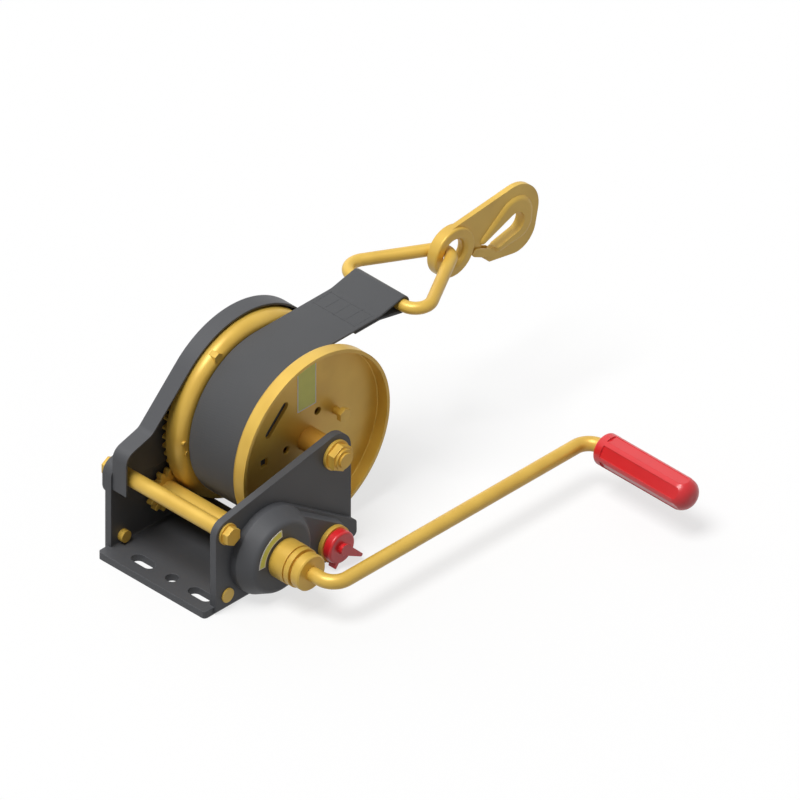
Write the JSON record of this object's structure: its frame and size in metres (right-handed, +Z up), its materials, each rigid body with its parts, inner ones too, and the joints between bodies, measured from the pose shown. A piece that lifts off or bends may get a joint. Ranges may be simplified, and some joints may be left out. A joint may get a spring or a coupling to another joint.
{
  "type": "hand winch",
  "caption": "Hand winch with a folded steel frame, geared drum, brake housing, bent crank with grip, webbing strap, triangular ring and snap hook.",
  "frame": {"origin": "centre of the middle bolt hole at the underside of the frame", "axes": "+X along the drum axle towards the crank, +Y along the pull of the strap, +Z up"},
  "size_m": [0.3002, 0.394, 0.1719],
  "materials": {
    "zinc_plated_steel": "yellow zinc plating, satin",
    "painted_steel": "dark grey paint, satin",
    "red_plastic": "red plastic, semi-gloss",
    "webbing": "dark grey woven webbing"
  },
  "bodies": {
    "frame": {"channel_frame": "painted_steel", "left_plate": "painted_steel", "gear_guard": "painted_steel", "brake_housing": "painted_steel", "front_spacer": "zinc_plated_steel", "front_tie_bolt": "zinc_plated_steel", "front_tie_nut": "zinc_plated_steel", "front_tie_washer": "zinc_plated_steel", "lower_bolt_left": "zinc_plated_steel", "lower_bolt_right": "zinc_plated_steel", "axle_bolt": "zinc_plated_steel", "axle_spacer": "zinc_plated_steel", "axle_washer": "zinc_plated_steel", "axle_nut": "zinc_plated_steel", "knob_bush": "zinc_plated_steel", "webbing_run": "webbing"},
    "drum": {"right_flange": "zinc_plated_steel", "left_flange": "zinc_plated_steel", "drum_barrel": "zinc_plated_steel", "drum_hub": "zinc_plated_steel", "drum_gear": "zinc_plated_steel", "strap_clamp_bolt": "zinc_plated_steel", "webbing_roll": "webbing"},
    "crank": {"drive_shaft": "zinc_plated_steel", "pinion": "zinc_plated_steel", "crank_hub": "zinc_plated_steel", "crank_arm": "zinc_plated_steel"},
    "grip": {"hand_grip": "red_plastic"},
    "knob": {"selector_knob": "red_plastic"},
    "ring": {"pull_ring": "zinc_plated_steel"},
    "hook": {"snap_hook": "zinc_plated_steel", "gate_pin": "zinc_plated_steel"},
    "gate": {"hook_gate": "zinc_plated_steel"}
  },
  "joints": [
    {"name": "drum_turn", "type": "hinge", "parent": "frame", "child": "drum", "pos_m": [-0.00725, 0.1168, 0.0818], "axis": [1, 0, 0], "continuous": true},
    {"name": "crank_turn", "type": "hinge", "parent": "frame", "child": "crank", "pos_m": [0.08, 0.04539, 0.03569], "axis": [1, 0, 0], "continuous": true},
    {"name": "grip_turn", "type": "hinge", "parent": "crank", "child": "grip", "pos_m": [0.18, 0.30599, 0.03569], "axis": [1, 0, 0], "continuous": true},
    {"name": "knob_turn", "type": "hinge", "parent": "frame", "child": "knob", "pos_m": [0.068, 0.1022, 0.017], "axis": [1, 0, 0], "range_deg": [0, 90]},
    {"name": "ring_swing", "type": "hinge", "parent": "frame", "child": "ring", "pos_m": [-0.00725, 0.218, 0.14725], "axis": [1, 0, 0], "range_deg": [-70, 70]},
    {"name": "hook_swing", "type": "hinge", "parent": "ring", "child": "hook", "pos_m": [-0.00725, 0.288, 0.14725], "axis": [1, 0, 0], "range_deg": [-45, 45]},
    {"name": "gate_swing", "type": "hinge", "parent": "hook", "child": "gate", "pos_m": [-0.00725, 0.3141, 0.13465], "axis": [1, 0, 0], "range_deg": [0, 30], "stiffness_Nm_per_rad": 0.1, "springref_deg": -20.05}
  ],
  "couplings": [
    {"joint": "crank_turn", "follows": "drum_turn", "ratio": -4.6667}
  ]
}
